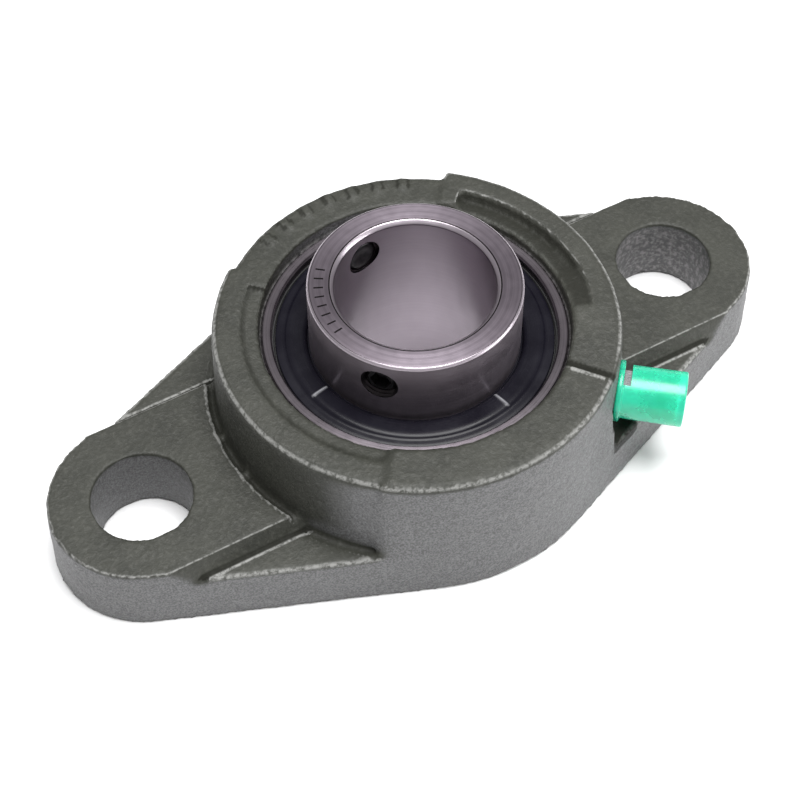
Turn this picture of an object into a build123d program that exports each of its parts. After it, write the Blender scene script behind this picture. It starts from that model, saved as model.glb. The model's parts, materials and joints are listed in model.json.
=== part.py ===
from build123d import *
import os
from math import acos, cos, radians, sin, tan

os.makedirs("parts", exist_ok=True)

# Two-bolt flange mount bearing. Millimetres and degrees.
# The origin is on the shaft axis at the mounting face. +X runs along the two bolts
# and +Z along the shaft axis, out of the hub. Angles are measured from +X about +Z.

# Flange
bolt_spacing = 99.0
bolt_hole_radius = 8.0
end_radius = 15.5
body_radius = 34.0
draft_angle = 2.0
pad_height = 13.0
pad_half_width = 15.0
rim_height = 10.3
pad_side_angle = 24.0
pad_inner_radius = 34.1
pad_trench_floor = 11.6
rim_groove_width = 1.1
rim_groove_floor = 9.5
hub_grooves = ((-51.0, 51.0), (129.0, 231.0))

# Hub: one half is a little wider and taller than the other, and one side is between the two
hub_height = 27.0
narrow_hub_height = 26.6
narrow_hub_radius = 32.45
wide_half_start = -129.0
wide_half_sweep = 180.0
side_hub_radius = 33.4
side_hub_start = 129.5
side_hub_end = 231.0
hub_edge_radius = 1.2
front_block_start = -129.0
front_block_end = -51.0
front_block_angle = 8.0
front_block_height = 14.0
block_end_dip = -25.0

# Recesses in the top face of the hub
deep_recess_start = -24.0
deep_recess_end = 45.0
deep_recess_outer_radius = 28.9
deep_recess_groove = (27.75, 28.0)
deep_recess_ridge_radius = 27.3
deep_recess_floor = 25.7
deep_recess_groove_floor = 25.1
deep_recess_end_dip = 8.0
lowered_side_start = -51.0
lowered_side_dip = -3.0
shallow_recess_start = 134.5
shallow_recess_end = 231.0
shallow_recess_radius = 27.9
shallow_recess_floor = 26.1
mark_count = 7
mark_first_angle = 64.0
mark_pitch = 8.5
mark_size = (2.6, 1.1, 0.35)
mark_radius = 29.6

# Spherical seat of the insert
ball_plane = 16.0
seat_radius = 26.03
seat_mouth_radius = 25.0
seat_mouth_chamfer = 0.5
back_bore_radius = 24.0
loading_slot_width = 17.8

# Insert rings
bore_radius = 12.7
ring_radius = 17.0
ring_top = 35.8
ring_bottom = 1.7
ring_outer_chamfer = 0.35
ring_bore_chamfer = 0.6
outer_ring_radius = 25.98
outer_ring_width = 17.0
outer_land_radius = 22.05
seal_groove_radius = 23.3
ring_mouth_radius = 22.9
ring_mouth_chamfer = 0.3
seal_groove_low = 5.0
seal_groove_high = 6.9

# Balls, raceways and cage
ball_count = 9
ball_radius = 3.969
pitch_radius = 19.52
raceway_radius = 4.12
raceway_clearance = 0.03
cage_inner_radius = 17.9
cage_outer_radius = 21.1
cage_thickness = 0.6
pocket_clearance = 0.12
rivet_radius = 0.6
rivet_gap = 0.02
rivet_head_radius = 1.0
rivet_head_height = 0.45

# Seals and slingers, heights above the ball plane
seal_lip_radius = 17.06
seal_lip_foot_radius = 18.1
seal_low = 5.6
seal_high = 6.2
seal_lip_low = 5.35
seal_lip_taper = 0.4
seal_bead_inner_radius = 22.75
seal_bead_low = 5.1
seal_bead_high = 6.8
core_inner_radius = 18.6
core_outer_radius = 22.6
core_low = 5.3
slinger_raised_zone = (17.45, 20.3)
slinger_raised_height = 7.75
slinger_flat_zone = (20.9, 22.1)
slinger_flat_height = 7.25
slinger_outer_radius = 22.45
slinger_edge_drop = 0.25
slinger_thickness = 0.6
slinger_rib_angles = (-171.0, -75.0, 9.0, 105.0)
slinger_rib_radius = 18.95
slinger_rib_size = (2.8, 0.5, 0.2)

# Grease way
nipple_angle = -40.0
spot_face_radius = 5.3
spot_face_distance = 33.0
nipple_hole_radius = 3.0
nipple_hole_end = 27.5
duct_radius = 1.75
duct_start = 25.0
groove_low = -5.25
groove_high = -0.75
groove_radius = 25.5
grease_hole_radius = 0.9
grease_hole_offset = -4.3
grease_hole_angles = (20.0, 200.0)

# Grease nipple and its cap, distances from the shaft axis
shank_radius = 2.97
shank_start = 27.7
hex_across_flats = 6.35
hex_end = 35.8
neck_radius = 2.3
neck_end = 38.2
head_radius = 3.25
head_start = 39.1
head_end = 40.4
nipple_end = 42.2
tip_radius = 1.9
passage_radius = 0.9
chamber_radius = 1.3
chamber_start = 29.5
chamber_end = 41.0
valve_ball_radius = 1.1
valve_ball_distance = 40.65
mouth_radius = 0.7
mouth_cone_length = 0.8
spring_wire_radius = 0.18
spring_coil_radius = 0.9
spring_pitch = 1.0
spring_gap = 0.02
cap_start = 33.15
cap_end = 44.3
cap_flange_radius = 5.0
cap_flange_end = 34.05
cap_base_radius = 4.4
cap_end_radius = 4.5
cap_inner_radius = 3.95
cap_floor = 43.3
cap_edge = 0.3
cap_rib_slope = 0.3
cap_rib_radius = 3.5
cap_rib_start = 37.0
cap_rib_end = 37.9
cap_window = (-10.0, 115.0)
cap_window_end = 35.3

# Locating pin of the outer ring, opposite the nipple
pin_angle = 140.0
pin_radius = 1.5
pin_hole_radius = 1.56
pin_start = 24.9
pin_hole_start = 24.8
pin_end = 28.4
pin_slot_end = 29.0
pin_slot_width = 3.7
pin_slot_top = 19.6
pin_chamfer = 0.2

# Set screws
screw_angles = (-139.0, 101.0)
screw_height = 30.8
screw_crest_radius = 2.62
screw_root_radius = 2.3
screw_start = 12.95
screw_end = 16.15
thread_pitch = 0.75
thread_minor_radius = 2.7
thread_major_radius = 3.0
thread_overrun = 1.5
socket_across_flats = 3.0
socket_depth = 1.7
cup_radius = 1.3
cup_depth = 0.4

half_spacing = bolt_spacing / 2
overrun = 5.0


def revolved(points):
    """Solid of revolution about Z from (radius, height) corners."""
    return revolve(Plane.XZ * make_face(Polyline(*points, close=True)), Axis.Z)


def rod(radius, low, high):
    """Cylinder on the Z axis between two heights."""
    return Pos(0, 0, low) * Cylinder(radius, high - low, align=(Align.CENTER, Align.CENTER, Align.MIN))


def tube(inner, outer, low, high):
    """Plain ring on the Z axis between two heights."""
    return revolved([(inner, low), (outer, low), (outer, high), (inner, high)])


def sector(start, end, inner, outer, low, high):
    """Block between two angles, two radii and two heights."""
    outer_arc = CenterArc((0, 0), outer, start, end - start)
    inner_arc = CenterArc((0, 0), inner, start, end - start)
    first_side = Line(outer_arc @ 0, inner_arc @ 0)
    last_side = Line(outer_arc @ 1, inner_arc @ 1)
    return extrude(Pos(0, 0, low) * make_face([outer_arc, inner_arc, first_side, last_side]), high - low)


def radial_plane(angle, height):
    """Plane on the shaft axis whose normal points outwards and whose local Y points up."""
    turn = radians(angle)
    return Plane(origin=(0, 0, height), x_dir=(-sin(turn), cos(turn), 0), z_dir=(cos(turn), sin(turn), 0))


def across_ball_plane(front_piece):
    """The back piece that matches a front piece across the ball plane."""
    return mirror(front_piece, about=Plane.XY.offset(ball_plane))


def ball_centres(half_pitch=False):
    """Places of the balls, or of the rivets half a pitch on."""
    pitch = 360 / ball_count
    start = pitch / 2 if half_pitch else 0
    angles = [start + number * pitch for number in range(ball_count)]
    return [Rot(0, 0, angle) * Pos(pitch_radius, 0, ball_plane) for angle in angles]


def flange_outline(inset):
    """Rhombus of three circles and their common tangents."""
    lean = acos((body_radius - end_radius) / half_spacing)
    body = body_radius - inset
    end = end_radius - inset
    right_corners = [(half_spacing + end * cos(lean), end * sin(lean)), (body * cos(lean), body * sin(lean))]
    upper_corners = right_corners + [(-x, y) for x, y in reversed(right_corners)]
    lower_corners = [(x, -y) for x, y in reversed(upper_corners)]
    outline = Polygon(*upper_corners, *lower_corners, align=None) + Circle(body)
    for side in (-1, 1):
        outline += Pos(side * half_spacing, 0) * Circle(end)
    return outline


def make_flange():
    """Flange plate with two raised pads, a lower rim, and grooves round the pads and the hub."""
    full_height = extrude(flange_outline(0), pad_height, taper=draft_angle)
    plate = extrude(flange_outline(0), rim_height, taper=draft_angle)
    foot_half_width = pad_half_width + (pad_height - rim_height) * tan(radians(pad_side_angle))
    foot = Rectangle(2 * bolt_spacing, 2 * foot_half_width)
    sloped = extrude(Pos(0, 0, rim_height) * foot, pad_height - rim_height, taper=pad_side_angle)
    pads = (sloped + extrude(foot, rim_height)) & full_height
    grooved = Rectangle(2 * bolt_spacing, 2 * (foot_half_width + rim_groove_width))
    plate -= extrude(Pos(0, 0, rim_groove_floor) * grooved, pad_height)
    for start, end in hub_grooves:
        plate -= sector(start, end, bore_radius, pad_inner_radius, rim_groove_floor, pad_height)
    pads -= rod(pad_inner_radius, pad_trench_floor, pad_height)
    return plate + pads


def tapered_hub(base_radius, height):
    """Round hub with draft and a rounded top edge."""
    top_radius = base_radius - height * tan(radians(draft_angle))
    hub = Cone(base_radius, top_radius, height, align=(Align.CENTER, Align.CENTER, Align.MIN))
    return fillet(hub.edges().sort_by(Axis.Z)[-1], hub_edge_radius)


def make_hub():
    """Hub of two unequal halves, with the front wall carried down to the flange side."""
    wide_half_end = wide_half_start + wide_half_sweep
    outside = body_radius + overrun
    half = sector(wide_half_start, wide_half_end, bore_radius, outside, 0, hub_height)
    side = sector(side_hub_start, side_hub_end, bore_radius, outside, 0, hub_height)
    hub = tapered_hub(narrow_hub_radius, narrow_hub_height)
    hub += tapered_hub(side_hub_radius, narrow_hub_height) & side
    hub += tapered_hub(body_radius, hub_height) & half
    skirt_foot = Pos(0, 0, rim_height) * flange_outline(rim_height * tan(radians(draft_angle)))
    skirt = extrude(skirt_foot, front_block_height, taper=front_block_angle)
    block = sector(front_block_start, front_block_end, bore_radius, outside, 0, hub_height)
    return hub + (skirt & block)


def above_slope(angle, height, dip):
    """Space above a plane that holds a radial line and dips going anticlockwise."""
    size = 4 * body_radius
    space = Box(size, size, size, align=(Align.CENTER, Align.CENTER, Align.MIN))
    return Rot(0, 0, angle) * Pos(0, 0, height) * Rot(-dip, 0, 0) * space


def deep_recess():
    """Recess with a sloped wall, a groove at its foot, and one end that rises to the top face."""
    groove_start, groove_end = deep_recess_groove
    section = revolved([
        (bore_radius, hub_height + overrun),
        (bore_radius, deep_recess_floor),
        (deep_recess_ridge_radius, deep_recess_floor),
        (groove_start, deep_recess_groove_floor),
        (groove_end, deep_recess_groove_floor),
        (deep_recess_outer_radius, hub_height),
        (deep_recess_outer_radius, hub_height + overrun),
    ])
    top = hub_height + overrun
    reach = sector(deep_recess_start, deep_recess_end, bore_radius, body_radius, ball_plane, top)
    return section & reach & above_slope(deep_recess_start, hub_height, deep_recess_end_dip)


def cut_top_face(housing):
    """Recesses and sloped steps of the top face, and a row of plain raised bars."""
    top = hub_height + overrun
    outside = body_radius + overrun
    housing -= deep_recess()
    side = sector(lowered_side_start, deep_recess_start, bore_radius, outside, ball_plane, top)
    housing -= side & above_slope(deep_recess_start, hub_height, lowered_side_dip)
    block = sector(front_block_start, front_block_end, bore_radius, outside, ball_plane, top)
    housing -= block & above_slope(front_block_start, narrow_hub_height, block_end_dip)
    start, end = shallow_recess_start, shallow_recess_end
    housing -= sector(start, end, bore_radius, shallow_recess_radius, shallow_recess_floor, top)
    length, width, height = mark_size
    for number in range(mark_count):
        place = Rot(0, 0, mark_first_angle + number * mark_pitch) * Pos(mark_radius, 0, narrow_hub_height)
        housing += place * Box(length, width, 2 * height)
    return housing


def cut_seat(housing):
    """Spherical seat, its mouth, the back bore, and the two slots that the insert goes in by."""
    housing -= Pos(0, 0, ball_plane) * Sphere(seat_radius)
    housing -= rod(back_bore_radius, -overrun, ball_plane)
    housing -= rod(seat_mouth_radius, ball_plane, hub_height + overrun)
    chamfer_top = seat_mouth_radius + seat_mouth_chamfer + overrun
    housing -= revolved([
        (0, hub_height - seat_mouth_chamfer),
        (seat_mouth_radius, hub_height - seat_mouth_chamfer),
        (chamfer_top, hub_height + overrun),
        (0, hub_height + overrun),
    ])
    slot = Box(2 * seat_radius, loading_slot_width, ball_plane, align=(Align.CENTER, Align.CENTER, Align.MIN))
    slot_end = rod(seat_radius, -overrun, ball_plane)
    return housing - (slot & slot_end)


def cut_grease_way(housing):
    """Spot face, tapped hole and duct for the grease nipple."""
    plane = radial_plane(nipple_angle, ball_plane)
    housing -= plane * rod(spot_face_radius, spot_face_distance, body_radius + overrun)
    housing -= plane * rod(nipple_hole_radius, nipple_hole_end, body_radius)
    return housing - plane * rod(duct_radius, duct_start, body_radius)


def make_housing():
    """Cast housing."""
    housing = cut_seat(cut_top_face(make_flange() + make_hub()))
    for side in (-1, 1):
        housing -= Pos(side * half_spacing, 0, 0) * rod(bolt_hole_radius, -overrun, pad_height + overrun)
    slot_length = pin_slot_end - bore_radius
    pin_slot = Box(slot_length, pin_slot_width, pin_slot_top, align=(Align.MIN, Align.CENTER, Align.MIN))
    housing -= Rot(0, 0, pin_angle) * Pos(bore_radius, 0, 0) * pin_slot
    return cut_grease_way(housing)


def make_inner_ring():
    """Extended inner ring with its raceway and two tapped holes."""
    outer, inner = ring_outer_chamfer, ring_bore_chamfer
    ring = revolved([
        (bore_radius, ring_bottom + inner),
        (bore_radius + inner, ring_bottom),
        (ring_radius - outer, ring_bottom),
        (ring_radius, ring_bottom + outer),
        (ring_radius, ring_top - outer),
        (ring_radius - outer, ring_top),
        (bore_radius + inner, ring_top),
        (bore_radius, ring_top - inner),
    ])
    bottom = pitch_radius - ball_radius - raceway_clearance
    ring -= Pos(0, 0, ball_plane) * Torus(bottom + raceway_radius, raceway_radius)
    hole_start = bore_radius - thread_overrun
    hole_end = ring_radius + thread_overrun
    tapped_hole = threaded_rod(thread_major_radius, thread_minor_radius, hole_start, hole_end)
    for angle in screw_angles:
        ring -= radial_plane(angle, screw_height) * tapped_hole
    return ring


def threaded_rod(crest, root, start, end):
    """Rod with ring-shaped thread grooves."""
    turns = int((end - start) / thread_pitch)
    corners = [(0, start), (root, start)]
    for turn in range(turns):
        corners.append((crest, start + (turn + 0.5) * thread_pitch))
        corners.append((root, start + (turn + 1) * thread_pitch))
    corners.append((root, end))
    corners.append((0, end))
    return revolved(corners)


def make_outer_ring():
    """Outer ring with a spherical outside, a raceway, seal grooves and the grease groove."""
    half_width = outer_ring_width / 2
    outside = outer_ring_radius + overrun
    front_half = revolved([
        (outer_land_radius, 0),
        (outside, 0),
        (outside, half_width),
        (ring_mouth_radius + ring_mouth_chamfer, half_width),
        (ring_mouth_radius, half_width - ring_mouth_chamfer),
        (ring_mouth_radius, seal_groove_high),
        (seal_groove_radius, seal_groove_high),
        (seal_groove_radius, seal_groove_low),
        (outer_land_radius, seal_groove_low),
    ])
    ring = (front_half + mirror(front_half, about=Plane.XY)) & Sphere(outer_ring_radius)
    bottom = pitch_radius + ball_radius + raceway_clearance
    ring -= Torus(bottom - raceway_radius, raceway_radius)
    ring -= tube(groove_radius, outside, groove_low, groove_high)
    for angle in grease_hole_angles:
        hole_plane = radial_plane(angle, grease_hole_offset)
        ring -= hole_plane * rod(grease_hole_radius, ring_radius, outside)
    ring -= radial_plane(pin_angle, 0) * rod(pin_hole_radius, pin_hole_start, outside)
    return Pos(0, 0, ball_plane) * ring


def make_locating_pin():
    """Short pin that keys the outer ring to the slot in its seat."""
    pin = radial_plane(pin_angle, ball_plane) * rod(pin_radius, pin_start, pin_end)
    return chamfer(pin.edges().filter_by(GeomType.CIRCLE), pin_chamfer)


def make_front_cage():
    """Front half of the pressed cage: a flat ribbon with a domed pocket for each ball."""
    band = tube(cage_inner_radius, cage_outer_radius, ball_plane, ball_plane + 2 * ball_radius)
    cage = tube(cage_inner_radius, cage_outer_radius, ball_plane, ball_plane + cage_thickness)
    pocket_radius = ball_radius + pocket_clearance
    for place in ball_centres():
        cage += place * Sphere(pocket_radius + cage_thickness) & band
    for place in ball_centres():
        cage -= place * Sphere(pocket_radius)
    for place in ball_centres(half_pitch=True):
        cage -= place * Cylinder(rivet_radius, 4 * cage_thickness)
    return cage


def make_rivets():
    """Nine rivets with flat heads on both sides of the cage."""
    shank = Cylinder(rivet_radius - rivet_gap, 2 * cage_thickness)
    head = rod(rivet_head_radius, cage_thickness, cage_thickness + rivet_head_height)
    head = chamfer(head.edges().sort_by(Axis.Z)[-1], rivet_head_height / 2)
    rivet = shank + head + mirror(head, about=Plane.XY)
    return Compound(children=[place * rivet for place in ball_centres(half_pitch=True)])


def make_front_seal():
    """Rubber seal: bead in the ring groove, disc, and lip running on the inner ring."""
    return Pos(0, 0, ball_plane) * revolved([
        (seal_lip_radius, seal_high),
        (seal_lip_radius, seal_lip_low + seal_lip_taper),
        (seal_lip_foot_radius, seal_lip_low),
        (core_inner_radius, seal_low),
        (core_outer_radius, seal_low),
        (seal_bead_inner_radius, seal_bead_low),
        (seal_groove_radius, seal_bead_low),
        (seal_groove_radius, seal_bead_high),
        (seal_bead_inner_radius, seal_bead_high),
        (core_outer_radius, seal_high),
    ])


def make_front_seal_core():
    """Steel disc that stiffens the seal."""
    return tube(core_inner_radius, core_outer_radius, ball_plane + core_low, ball_plane + seal_low)


def make_front_slinger():
    """Pressed disc on the inner ring: raised inner zone with short ribs, flat zone, turned-down edge."""
    raised_start, raised_end = slinger_raised_zone
    flat_start, flat_end = slinger_flat_zone
    edge_height = slinger_flat_height - slinger_edge_drop
    top = [
        (ring_radius, slinger_flat_height),
        (raised_start, slinger_raised_height),
        (raised_end, slinger_raised_height),
        (flat_start, slinger_flat_height),
        (flat_end, slinger_flat_height),
        (slinger_outer_radius, edge_height),
        (slinger_outer_radius, edge_height - slinger_edge_drop),
    ]
    underside = [(radius, height - slinger_thickness) for radius, height in reversed(top[:5])]
    slinger = revolved(top + underside)
    length, width, height = slinger_rib_size
    for angle in slinger_rib_angles:
        place = Rot(0, 0, angle) * Pos(slinger_rib_radius, 0, slinger_raised_height)
        slinger += place * Box(length, width, 2 * height)
    return Pos(0, 0, ball_plane) * slinger


def hexagon(across_flats, height):
    """Hexagon outline at a height on the Z axis."""
    return Pos(0, 0, height) * RegularPolygon(across_flats / 2, 6, major_radius=False)


def make_nipple():
    """Grease nipple: shank, hexagon, neck and head, bored for its valve."""
    nipple = rod(shank_radius, shank_start, hex_end)
    nipple += extrude(hexagon(hex_across_flats, spot_face_distance), hex_end - spot_face_distance)
    nipple += revolved([
        (0, hex_end),
        (neck_radius, hex_end),
        (neck_radius, neck_end),
        (head_radius, head_start),
        (head_radius, head_end),
        (tip_radius, nipple_end),
        (0, nipple_end),
    ])
    nipple -= revolved([
        (0, shank_start),
        (passage_radius, shank_start),
        (passage_radius, chamber_start),
        (chamber_radius, chamber_start),
        (chamber_radius, chamber_end),
        (mouth_radius, chamber_end + mouth_cone_length),
        (mouth_radius, nipple_end),
        (0, nipple_end),
    ])
    return radial_plane(nipple_angle, ball_plane) * nipple


def make_valve_ball():
    """Ball that closes the mouth of the nipple."""
    return radial_plane(nipple_angle, ball_plane) * Pos(0, 0, valve_ball_distance) * Sphere(valve_ball_radius)


def make_valve_spring():
    """Coil spring between the floor of the chamber and the valve ball."""
    start = chamber_start + spring_wire_radius + spring_gap
    height = valve_ball_distance - valve_ball_radius - spring_wire_radius - start
    coil = Helix(spring_pitch, height, spring_coil_radius)
    section = Plane(origin=coil @ 0, z_dir=coil % 0) * Circle(spring_wire_radius)
    spring = sweep(section, path=coil)
    return radial_plane(nipple_angle, ball_plane) * Pos(0, 0, start) * spring


def make_cap():
    """Plastic dust cap with a thin foot flange, a snap rib and a window behind the flange."""
    cap = revolved([
        (cap_inner_radius, cap_start),
        (cap_flange_radius, cap_start),
        (cap_flange_radius, cap_flange_end),
        (cap_base_radius, cap_flange_end),
        (cap_end_radius, cap_end - cap_edge),
        (cap_end_radius - cap_edge, cap_end),
        (0, cap_end),
        (0, cap_floor),
        (cap_inner_radius, cap_floor),
        (cap_inner_radius, cap_rib_end),
        (cap_rib_radius, cap_rib_end - cap_rib_slope),
        (cap_rib_radius, cap_rib_start + cap_rib_slope),
        (cap_inner_radius, cap_rib_start),
    ])
    start, end = cap_window
    cap -= sector(start, end, cap_rib_radius, cap_flange_radius, cap_flange_end, cap_window_end)
    return radial_plane(nipple_angle, ball_plane) * cap


def make_set_screw(angle):
    """Headless screw with a hexagon socket outside and a cup point inside."""
    screw = threaded_rod(screw_crest_radius, screw_root_radius, screw_start, screw_end)
    screw -= extrude(hexagon(socket_across_flats, screw_end - socket_depth), socket_depth)
    screw -= revolved([(0, screw_start), (cup_radius, screw_start), (0, screw_start + cup_depth)])
    return radial_plane(angle, screw_height) * screw


front_pieces = {
    "seal": make_front_seal(),
    "seal_core": make_front_seal_core(),
    "slinger": make_front_slinger(),
}
front_cage = make_front_cage()

pieces = {
    "housing": make_housing(),
    "locating_pin": make_locating_pin(),
    "outer_ring": make_outer_ring(),
    "inner_ring": make_inner_ring(),
    "cage_front": front_cage,
    "cage_back": across_ball_plane(front_cage),
    "cage_rivets": make_rivets(),
    "grease_nipple": make_nipple(),
    "nipple_ball": make_valve_ball(),
    "nipple_spring": make_valve_spring(),
    "nipple_cap": make_cap(),
}
for name, piece in front_pieces.items():
    pieces["front_" + name] = piece
    pieces["back_" + name] = across_ball_plane(piece)
for number, place in enumerate(ball_centres(), start=1):
    pieces[f"ball_{number}"] = place * Sphere(ball_radius)
for number, angle in enumerate(screw_angles, start=1):
    pieces[f"set_screw_{number}"] = make_set_screw(angle)

for name, piece in pieces.items():
    export_step(piece, f"parts/{name}.step")
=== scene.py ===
import json
import math
import bmesh
import bpy
import numpy as np
from mathutils import Matrix, Vector, noise


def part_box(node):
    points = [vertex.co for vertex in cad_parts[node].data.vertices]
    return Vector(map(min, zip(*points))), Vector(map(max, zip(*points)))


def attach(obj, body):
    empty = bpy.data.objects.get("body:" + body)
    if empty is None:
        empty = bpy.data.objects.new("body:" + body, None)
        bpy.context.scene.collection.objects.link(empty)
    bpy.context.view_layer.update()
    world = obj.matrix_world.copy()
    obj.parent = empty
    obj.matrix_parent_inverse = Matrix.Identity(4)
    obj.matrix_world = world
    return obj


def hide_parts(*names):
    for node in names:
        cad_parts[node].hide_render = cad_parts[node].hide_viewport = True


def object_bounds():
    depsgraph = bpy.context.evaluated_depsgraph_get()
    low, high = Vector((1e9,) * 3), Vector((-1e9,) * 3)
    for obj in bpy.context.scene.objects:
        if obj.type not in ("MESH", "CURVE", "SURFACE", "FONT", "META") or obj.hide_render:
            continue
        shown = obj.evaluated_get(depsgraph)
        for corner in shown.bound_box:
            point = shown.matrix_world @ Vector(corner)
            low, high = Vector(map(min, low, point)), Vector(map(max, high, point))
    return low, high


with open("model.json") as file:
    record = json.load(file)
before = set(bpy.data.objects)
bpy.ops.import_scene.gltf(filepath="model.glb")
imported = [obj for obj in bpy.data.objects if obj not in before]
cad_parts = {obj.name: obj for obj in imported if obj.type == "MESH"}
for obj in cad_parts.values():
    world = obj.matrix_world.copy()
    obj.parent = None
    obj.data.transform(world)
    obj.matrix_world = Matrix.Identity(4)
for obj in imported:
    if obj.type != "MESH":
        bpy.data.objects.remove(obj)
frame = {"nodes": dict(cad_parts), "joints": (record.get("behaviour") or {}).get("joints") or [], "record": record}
cad_low, cad_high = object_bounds()

# Metres, in the row frame: +Z is the shaft axis, +X runs along the two bolts.
MM = 0.001
nodes = frame["nodes"]
joints = {joint["name"]: joint for joint in frame["joints"]}
mounts = {mount["name"]: mount for mount in frame["record"]["mounts"]}

ball_centre = Vector(joints["align_pitch"]["pos_m"])
nipple_axis = Vector(joints["cap_pull"]["axis"])
bore_radius = mounts["shaft_bore"]["dims"]["r_mm"] * MM
bolt_radius = mounts["bolt_holes"]["dims"]["hole_r_mm"] * MM
bolt_x = mounts["bolt_holes"]["dims"]["spacing_x_mm"] * MM / 2


# -------------------------------- mesh helpers

CORNER_STEPS = 4
CORNER_SHARE = 0.4
MERGE_DISTANCE = 1e-7
SHARP_ANGLE = math.radians(40)


def new_object(name, mesh, body, material, replaces):
    """Object in the row frame that rides on a body and stands for CAD nodes."""
    made = bpy.data.objects.new(name, mesh)
    bpy.context.scene.collection.objects.link(made)
    mesh.materials.clear()
    mesh.materials.append(material)
    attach(made, body)
    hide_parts(*replaces)


def round_corners(points, radius):
    """Closed outline of (radius, height) corners with each corner turned into a small arc."""
    rounded = []
    count = len(points)
    for i, corner in enumerate(points):
        here = Vector(corner)
        before = Vector(points[i - 1]) - here
        after = Vector(points[(i + 1) % count]) - here
        reach = min(radius, CORNER_SHARE * before.length, CORNER_SHARE * after.length)
        start = here + before.normalized() * reach
        end = here + after.normalized() * reach
        for k in range(CORNER_STEPS + 1):
            t = k / CORNER_STEPS
            rounded.append(start * (1 - t) ** 2 + here * 2 * t * (1 - t) + end * t * t)
    return rounded


def divide(points, longest):
    """The same closed outline, with no side longer than a given length."""
    divided = []
    for i, here in enumerate(points):
        following = points[(i + 1) % len(points)]
        pieces = max(1, math.ceil((Vector(following) - Vector(here)).length / longest))
        for k in range(pieces):
            divided.append(Vector(here).lerp(Vector(following), k / pieces))
    return divided


def spun(outline, segments, frame_matrix=Matrix.Identity(4)):
    """The points of an outline at each step of one turn about local Z."""
    points = []
    for s in range(segments):
        turn = 2 * math.pi * s / segments
        for r, z in outline:
            points.append(frame_matrix @ Vector((r * math.cos(turn), r * math.sin(turn), z)))
    return points


def mesh_of(name, corners, faces):
    """Tidied mesh from its corners and faces."""
    mesh = bpy.data.meshes.new(name)
    mesh.from_pydata(corners, [], faces)
    tidy_mesh(mesh)
    return mesh


def revolve(name, outline, segments):
    """Ring of revolution about Z from a closed outline that stays off the axis."""
    count = len(outline)
    faces = []
    for s in range(segments):
        t = (s + 1) % segments
        for i in range(count):
            j = (i + 1) % count
            faces.append((s * count + i, t * count + i, t * count + j, s * count + j))
    return mesh_of(name, spun(outline, segments), faces)


def lathe(name, outline, segments, frame_matrix):
    """Solid of revolution about local Z whose outline starts and ends on the axis."""
    inner = outline[1:-1]
    count = len(inner)
    ends = [frame_matrix @ Vector((0, 0, z)) for z in (outline[0][1], outline[-1][1])]
    faces = []
    for s in range(segments):
        t = (s + 1) % segments
        here, there = 2 + s * count, 2 + t * count
        faces.append((0, there, here))
        faces.append((1, here + count - 1, there + count - 1))
        for i in range(count - 1):
            faces.append((here + i, there + i, there + i + 1, here + i + 1))
    return mesh_of(name, ends + spun(inner, segments, frame_matrix), faces)


def cup(name, outside, inside, segments, frame_matrix):
    """Hollow cup of revolution: outside runs from its foot to the axis, inside from the axis back."""
    outer = [p for p in outside if p[0] > 0]
    outline = outer + [p for p in inside if p[0] > 0]
    count = len(outline)
    ends = [frame_matrix @ Vector((0, 0, z)) for z in (outside[-1][1], inside[0][1])]
    faces = []
    for s in range(segments):
        t = (s + 1) % segments
        here, there = 2 + s * count, 2 + t * count
        for i in range(count):
            j = (i + 1) % count
            if i == len(outer) - 1:
                faces.append((0, here + i, there + i))
                faces.append((1, there + j, here + j))
            else:
                faces.append((here + i, there + i, there + j, here + j))
    return mesh_of(name, ends + spun(outline, segments, frame_matrix), faces)


def tidy_mesh(mesh):
    """Outward normals, smooth faces, and sharp edges where the surface turns."""
    work = bmesh.new()
    work.from_mesh(mesh)
    bmesh.ops.remove_doubles(work, verts=work.verts, dist=MERGE_DISTANCE)
    bmesh.ops.dissolve_degenerate(work, edges=work.edges, dist=MERGE_DISTANCE)
    bmesh.ops.recalc_face_normals(work, faces=work.faces)
    for face in work.faces:
        face.smooth = True
    for edge in work.edges:
        edge.smooth = len(edge.link_faces) == 2 and edge.calc_face_angle(0) < SHARP_ANGLE
    work.to_mesh(mesh)
    work.free()
    mesh.update()


def with_modifier(mesh, kind, **settings):
    """The mesh after one modifier."""
    carrier = bpy.data.objects.new("carrier", mesh)
    bpy.context.scene.collection.objects.link(carrier)
    modifier = carrier.modifiers.new("step", kind)
    for key, value in settings.items():
        setattr(modifier, key, value)
    evaluated = carrier.evaluated_get(bpy.context.evaluated_depsgraph_get())
    result = bpy.data.meshes.new_from_object(evaluated)
    result.name = mesh.name
    bpy.data.objects.remove(carrier)
    return result


def cut(mesh, cutter_mesh):
    """The mesh with the cutter's space taken out of it."""
    cutter = bpy.data.objects.new("cutter", cutter_mesh)
    bpy.context.scene.collection.objects.link(cutter)
    result = with_modifier(mesh, "BOOLEAN", operation="DIFFERENCE", solver="EXACT", object=cutter)
    bpy.data.objects.remove(cutter)
    tidy_mesh(result)
    return result


def along(axis, origin):
    """Matrix whose local Z runs along axis from origin, with local Y as near to up as it goes."""
    z = Vector(axis).normalized()
    x = Vector((0, 0, 1)).cross(z).normalized()
    y = z.cross(x)
    return Matrix.Translation(origin) @ Matrix((x, y, z)).transposed().to_4x4()


def span(node, axis):
    """Lowest and highest place of a CAD node along an axis through the origin."""
    places = [v.co.dot(axis) for v in nodes[node].data.vertices]
    return min(places), max(places)


# -------------------------------- material helpers


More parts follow.
